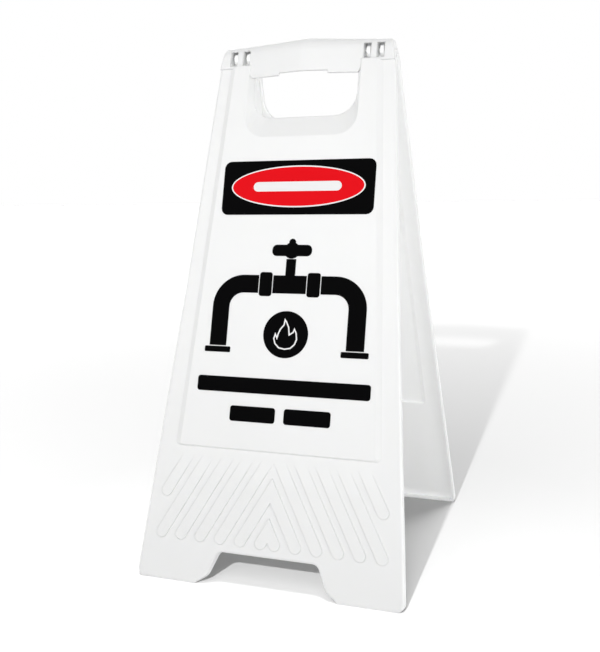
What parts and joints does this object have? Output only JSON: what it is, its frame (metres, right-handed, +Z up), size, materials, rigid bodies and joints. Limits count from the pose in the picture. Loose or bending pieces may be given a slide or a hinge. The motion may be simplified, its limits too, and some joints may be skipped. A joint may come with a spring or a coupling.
{
  "type": "folding a-frame floor marker",
  "caption": "Folding white plastic A-frame floor marker: tray panels hooked together at the top, with a hand hole, chevron ribs, foot arches and a printed front.",
  "frame": {"origin": "on the floor, under the middle of the grip", "axes": "+X across the panels, -Y towards the printed side, +Z up; the marker stands open"},
  "size_m": [0.3036, 0.344, 0.5965],
  "materials": {
    "moulded_plastic": "satin",
    "black_ink": "satin",
    "red_ink": "satin",
    "white_ink": "satin"
  },
  "bodies": {
    "front_leaf": {"front_panel": "moulded_plastic", "header_field": "black_ink", "oval_border": "white_ink", "oval_field": "red_ink", "oval_bar": "white_ink", "pipe_symbol": "black_ink", "flame_disc": "black_ink", "flame_mark": "white_ink", "caption_bars": "black_ink"},
    "rear_leaf": {"rear_panel": "moulded_plastic"}
  },
  "joints": [
    {"name": "panel_fold", "type": "hinge", "parent": "front_leaf", "child": "rear_leaf", "pos_m": [0, 0, 0.57798], "axis": [1, 0, 0], "range_deg": [-31.28, 0]}
  ]
}
